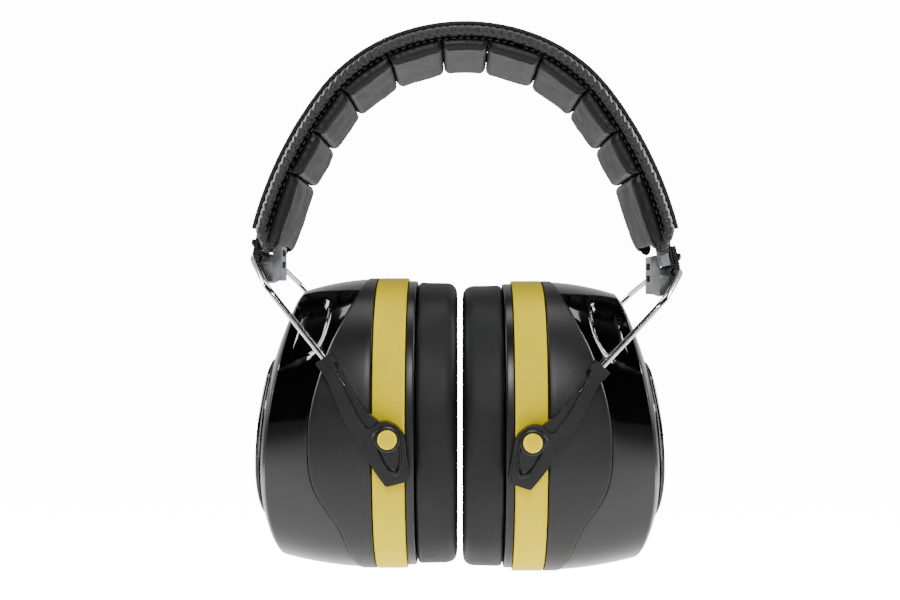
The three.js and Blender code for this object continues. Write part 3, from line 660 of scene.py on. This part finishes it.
# ---------- ear cup: a depth is measured outward from the cushion's face ----------
CUP_POINTS = 144  # round the cup's outline


def outline_ring(half, centre=CUP_CENTRE):
    turn = np.linspace(0, 2 * math.pi, CUP_POINTS, endpoint=False)
    c, s = np.cos(turn), np.sin(turn)
    return (half[0] * np.sign(c) * np.abs(c) ** (2 / CUP_POWER),
            centre + half[1] * np.sign(s) * np.abs(s) ** (2 / CUP_POWER))


def cup_world(side, depth, y, z):
    return (side["pivot"][0] + side["way"] * (depth - PIVOT_DEPTH), y, side["pivot"][1] + z)


def cup_ring(side, name, section, material, soft=0.0, sharp=50):
    """A ring round the cup from a closed section of (inset, depth)."""
    rings = []
    for inset, depth in section:
        ys, zs = outline_ring((CUP_HALF[0] - inset, CUP_HALF[1] - inset))
        ring = []
        for y, z in zip(ys, zs):
            lift = wobble((y, z, depth * 1.5), 16, soft) if soft else 0
            ring.append(cup_world(side, depth + lift * 0.3, y * (1 + lift / 44), z * (1 + lift / 58)))
        rings.append(ring)
    return loft(name, rings, material, closed=True, sharp=sharp)


FACE_DEPTH = 79
FACE_DEEPEST = -14  # height at which the outer face is deepest
FACE_FALL_UP, FACE_FALL_DOWN, FACE_FALL_SIDE = (17, 68), (12.5, 43), (6.5, 38)  # fall, over this distance


def face_depth(y, z):
    upper = z > FACE_DEEPEST
    fall = np.where(upper, FACE_FALL_UP[0], FACE_FALL_DOWN[0])
    t = (z - FACE_DEEPEST) / np.where(upper, FACE_FALL_UP[1], FACE_FALL_DOWN[1])
    return FACE_DEPTH - fall * t ** 2 - FACE_FALL_SIDE[0] * (y / FACE_FALL_SIDE[1]) ** 2


# The line where the grained side shell meets the glossy one: height against distance from the ring.
SEAM_LINE = [(-60, 3.0), (-57, 5.0), (-52, 7.6), (-42, 10.6), (-34.4, 13.2), (-28.9, 17.2), (-21.9, 21.4),
             (-14.9, 23.2), (-5.5, 23.8), (4.7, 23.5), (15.6, 21.6), (30.4, 17.4), (36.5, 15), (42.6, 11.8),
             (50.5, 8.0), (57, 4.2), (60, 3.0)]


def seam_depth(z):
    heights, offsets = zip(*SEAM_LINE)
    fine = np.linspace(heights[0], heights[-1], 241)
    line = np.interp(fine, heights, offsets)
    line = np.convolve(np.pad(line, 12, mode="edge"), np.hanning(25) / np.hanning(25).sum(), "valid")
    return WALL_START + np.interp(z, fine, line)


def wall_rings(depths, inset):
    """Points (depth, y, z) of the wall for one array of depths per ring."""
    cy, cz = outline_ring((1, 1), centre=0)
    crease = face_depth(CREASE_HALF[0] * cy, CUP_CENTRE + CREASE_HALF[1] * cz)
    rings = []
    for depth in depths:
        share = np.clip((depth - WALL_START) / (crease - WALL_START), 0, 1) ** 1.9
        a = CUP_HALF[0] + (CREASE_HALF[0] - CUP_HALF[0]) * share - inset
        b = CUP_HALF[1] + (CREASE_HALF[1] - CUP_HALF[1]) * share - inset
        rings.append(np.stack([depth, a * cy, CUP_CENTRE + b * cz], axis=1))
    return rings, crease


def cup_seam():
    _, z = outline_ring(CUP_HALF)
    return seam_depth(z)


def to_world(side, rings):
    return [[cup_world(side, *p) for p in ring] for ring in rings]


def build_side_shell(word, side):
    seam = cup_seam()
    shares = np.array([0, 0.012, 0.04, 0.15, 0.3, 0.45, 0.6, 0.75, 0.88, 0.96, 0.988, 1])
    insets = np.array([0.5, 0.15, 0, 0, 0, 0, 0, 0, 0, 0, 0.12, 0.4])
    skin = [wall_rings([WALL_START + (seam - WALL_START) * s], i)[0][0] for s, i in zip(shares, insets)]
    back = [wall_rings([WALL_START + (seam - WALL_START) * s], SHELL_WALL)[0][0] for s in (1, 0.5, 0)]
    made = loft("side_panel_" + word, to_world(side, skin + back), GRAIN, closed=True, sharp=60)
    piece(made, "ear_cup_" + word, "side_shell_" + word)


SCOOP_HEIGHT, SCOOP_DEPTH = 37, 61  # the recess's middle, up from the pivot and depth
SCOOP_HALF = 11.5
SCOOP_SINK = 3.4
SCOOP_SIDE, SCOOP_FADE = 14, 12  # it starts this far from the cup's middle and is full this much farther


def scoop(depth, y, z):
    """How far the glossy wall is drawn in where the yoke's wire passes over it, front and rear."""
    across = (z - SCOOP_HEIGHT + 0.35 * (depth - SCOOP_DEPTH - 1)) / SCOOP_HALF
    along = (depth - SCOOP_DEPTH + 0.2 * (z - SCOOP_HEIGHT)) / SCOOP_HALF
    inside = 1 - np.abs(across) ** 3 - np.abs(along) ** 3
    ramp = np.clip(inside / 0.55, 0, 1)
    smooth = ramp * ramp * (3 - 2 * ramp)
    return SCOOP_SINK * smooth * np.clip((np.abs(y) - SCOOP_SIDE) / SCOOP_FADE, 0, 1)


def build_outer_shell(word, side):
    seam = cup_seam() + 0.3
    _, crease = wall_rings([seam], 0)
    cy, cz = outline_ring((1, 1), centre=0)

    def skin(inset, lift):
        rings = []
        for s in np.concatenate([[0, 0.01, 0.03], np.linspace(0.07, 0.965, 30)]):
            depth = seam + (crease - lift - seam) * s
            sunk = 0.45 - 0.1 * min(1, s * 20) if not inset else 0
            ring = wall_rings([depth], inset + sunk)[0][0]
            if not inset:
                pull = scoop(ring[:, 0], ring[:, 1], ring[:, 2])
                ring[:, 1] -= np.sign(ring[:, 1]) * pull
            rings.append(ring)
        for scale in (0.992, 0.98, 0.962, 0.94, 0.9, 0.85, 0.78, 0.7, 0.6, 0.5, 0.4, 0.3, 0.2, 0.12, 0.05):
            y = (CREASE_HALF[0] - inset) * cy * scale
            z = CUP_CENTRE + (CREASE_HALF[1] - inset) * cz * scale
            edge = max(0, (scale - 0.9) / 0.1)
            rings.append(np.stack([face_depth(y, z) - lift - 0.9 * edge ** 3, y, z], axis=1))
        return rings

    rings = skin(0, 0)[::-1] + skin(SHELL_WALL, SHELL_WALL)[::3]
    made = loft("dome_" + word, to_world(side, rings), GLOSS, sharp=60)
    piece(made, "ear_cup_" + word, "outer_shell_" + word)


# Sections round the cup: insets from its outline, depths from the cushion's face.
CUSHION_INSET = 1.9
CUSHION_WIDTH = 22
CUSHION_HEM = 5  # width of the hem that stands round the cushion's plate
CUSHION_BACK, CUSHION_SEAT = 15.6, 13.6  # depths of the hem's back and of the seat for the plate
RIM_INSET = 1.2
RIM_DEPTHS = (16.1, 19.3)
RING_DEPTHS = (19.6, 31.6)
RING_WALL = 5
BADGE_HALF, BADGE_CENTRE = (21, 31), -5  # half its width and height, and its height on the cup
# The badge plate's section, from the middle of its back round its rim to the middle of its front: share
# of its size, lift off the cup's face.
BADGE_PROFILE = [
    (0.05, 0.55), (0.6, 0.55), (1, 0.55), (1.005, 1.2), (0.995, 1.5), (0.975, 1.65),
    (0.93, 1.65), (0.91, 1.5), (0.89, 1.5), (0.6, 1.5), (0.3, 1.5), (0.05, 1.5),
]
# The pivot pin with its domed button: radius, distance from the cup's middle.
PIN_PROFILE = [
    (2, 39.6), (2, 51.7), (3.3, 51.7), (3.5, 51.9), (3.5, 52.4), (3.3, 52.75), (2.8, 53),
    (1.8, 53.12), (0.6, 53.16),
]


def build_cushion(word, side):
    inset, inner = CUSHION_INSET, CUSHION_INSET + CUSHION_WIDTH
    hem = inset + CUSHION_HEM
    foam = rounded([(inset, CUSHION_BACK), (inset - 0.1, 0.1), (inner, 0.1), (inner, CUSHION_SEAT),
                    (hem, CUSHION_SEAT), (hem, CUSHION_BACK)], [1.6, 5.2, 7.5, 1.5, 0.4, 0.6], 9)
    made = cup_ring(side, "cushion_" + word, resampled(foam, 70), CUSHION, soft=0.5, sharp=75)
    piece(made, "ear_cup_" + word, "ear_cushion_" + word)


def build_rim(word, side):
    near, far = RIM_DEPTHS
    inner = CUSHION_INSET + CUSHION_WIDTH
    section = rounded([(RIM_INSET, far), (RIM_INSET, near), (inner, near), (inner, far)],
                      [0.3, 0.9, 0.3, 0.3], 5)
    piece(cup_ring(side, "rim_" + word, section, SATIN), "ear_cup_" + word, "rim_plate_" + word)


def build_ring(word, side):
    near, far = RING_DEPTHS
    section = rounded([(0, far), (0, near), (RING_WALL, near), (RING_WALL, far)], [0.8, 0.8, 0.2, 0.2], 6)
    piece(cup_ring(side, "ring_" + word, section, YELLOW), "ear_cup_" + word, "cup_ring_" + word)


def build_badge(word, side):
    rings = []
    for scale, lift in BADGE_PROFILE:
        ys, zs = outline_ring([half * scale for half in BADGE_HALF], centre=BADGE_CENTRE)
        rings.append(np.stack([face_depth(ys, zs) + lift, ys, zs], axis=1))
    piece(loft("plate_" + word, to_world(side, rings), GLOSS, sharp=40), "ear_cup_" + word,
          "badge_plate_" + word)


def build_pins(word, side):
    turn = np.linspace(0, 2 * math.pi, 48, endpoint=False)
    for label, way in (("front", -1), ("rear", 1)):
        rings = [[cup_world(side, PIVOT_DEPTH + r * math.cos(t), way * y, r * math.sin(t)) for t in turn]
                 for r, y in PIN_PROFILE]
        piece(loft("pin_%s_%s" % (label, word), rings, YELLOW_BUTTON, sharp=50), "ear_cup_" + word,
              "pivot_pin_%s_%s" % (label, word))


def build_cup(word, side):
    build_cushion(word, side)
    build_rim(word, side)
    build_ring(word, side)
    build_side_shell(word, side)
    build_outer_shell(word, side)
    build_badge(word, side)
    build_pins(word, side)
    keep_node("cushion_plate_" + word, SATIN, 0)
    keep_node("inner_cup_" + word, SATIN, 0.4)
    keep_node("foam_liner_" + word, FOAM, 0.8)
    keep_node("ear_gauze_" + word, GAUZE, 0)


def build_slider(word):
    keep_node("slider_guide_" + word, SATIN, 0)
    keep_node("slider_tongue_" + word, SATIN, 0.35)
    keep_node("height_clip_" + word, GREY, 0.45)
    for label in ("front", "rear"):
        keep_node("clip_rivet_%s_%s" % (label, word), RIVET, 0.2)
    # The flexible strip stays in the guide at its upper end and goes with the tongue at its lower end.
    side = 1 if word == "right" else -1
    out = NOTCHES_OUT[word] * NOTCH
    low, high = STRIP_DEPTHS
    section = rounded([(-SLIDER_HALF, low), (SLIDER_HALF, low), (SLIDER_HALF, high),
                       (-SLIDER_HALF, high)], 0.3, 2)
    top, bottom = (side * (end + out) for end in STRIP_ENDS)
    made = band_strip("strip_" + word, top, bottom, section, SATIN, 3)
    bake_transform(made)
    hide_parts("slider_strip_" + word)


build_cover_and_spring()
build_seams()
build_pad()
for word, side in SIDES.items():
    build_slider(word)
    build_yoke(word, side)
    build_cup(word, side)


# ---------- studio ----------
WHITE_OUT = 14.0  # how bright the paper and the backdrop look to the camera


def soft_box(name, place, aim, size, power):
    light = bpy.data.lights.new(name, "AREA")
    light.shape = "RECTANGLE"
    light.size, light.size_y = size
    light.energy = power
    made = bpy.data.objects.new(name, light)
    made.location = place
    made.rotation_euler = (Vector(aim) - Vector(place)).to_track_quat("-Z", "Y").to_euler()
    bpy.context.scene.collection.objects.link(made)


MIDDLE = (0, 0, -0.1)
soft_box("left softbox", (-0.8, 0.12, 0.24), MIDDLE, (0.45, 0.6), 20)
soft_box("right softbox", (0.8, 0.12, 0.24), MIDDLE, (0.45, 0.6), 20)
soft_box("top softbox", (0, -0.1, 0.85), MIDDLE, (0.7, 0.4), 6)
soft_box("front softbox", (0.05, -1.5, 0.5), MIDDLE, (0.25, 0.25), 13)

floor_data = bpy.data.meshes.new("studio floor")
floor_data.from_pydata([(-6, -6, -0.32), (6, -6, -0.32), (6, 6, -0.32), (-6, 6, -0.32)], [], [(0, 1, 2, 3)])
FLOOR = finish_of("matt white paper", "#f4f4f4", "#fcfcfc", (0.8, 0.9), 3, 200, 0.05, 0.05)
floor_shader = FLOOR.node_tree.nodes["Principled BSDF"]
lit = add_node(FLOOR.node_tree, "Math", {0: add_node(FLOOR.node_tree, "LightPath").outputs["Is Camera Ray"],
                                         1: WHITE_OUT}, operation="MULTIPLY")
floor_shader.inputs["Emission Color"].default_value = linear("#ffffff")
FLOOR.node_tree.links.new(lit.outputs["Value"], floor_shader.inputs["Emission Strength"])
floor_data.materials.append(FLOOR)
floor = bpy.data.objects.new("studio_floor", floor_data)
bpy.context.scene.collection.objects.link(floor)

# The backdrop behind the object is bright and the room in front of it is dim.
world = bpy.data.worlds.new("white studio")
bpy.context.scene.world = world
world.use_nodes = True
sky = world.node_tree
direction = add_node(sky, "SeparateXYZ", {"Vector": add_node(sky, "TexCoord").outputs["Generated"]})
behind = add_node(sky, "MapRange", {"Value": direction.outputs["Y"], "From Min": -0.35, "From Max": 0.9,
                                    "To Min": 0.02, "To Max": 0.9}, interpolation_type="SMOOTHSTEP")
seen = add_node(sky, "LightPath").outputs["Is Camera Ray"]
strength = add_node(sky, "Mix", {"Factor": seen, "A": behind.outputs["Result"], "B": WHITE_OUT})
backdrop = sky.nodes["Background"]
backdrop.inputs["Color"].default_value = linear("#ffffff")
sky.links.new(strength.outputs["Result"], backdrop.inputs["Strength"])

camera_data = bpy.data.cameras.new("camera")
camera_data.lens = 45.26
camera_data.sensor_width = 36
camera_data.shift_x = -10 / 900
camera_data.shift_y = -10 / 900
camera = bpy.data.objects.new("camera", camera_data)
camera.location = (-0.002, -0.460, -0.0925)
camera.rotation_euler = (math.pi / 2, 0, 0)
bpy.context.scene.collection.objects.link(camera)
bpy.context.scene.camera = camera
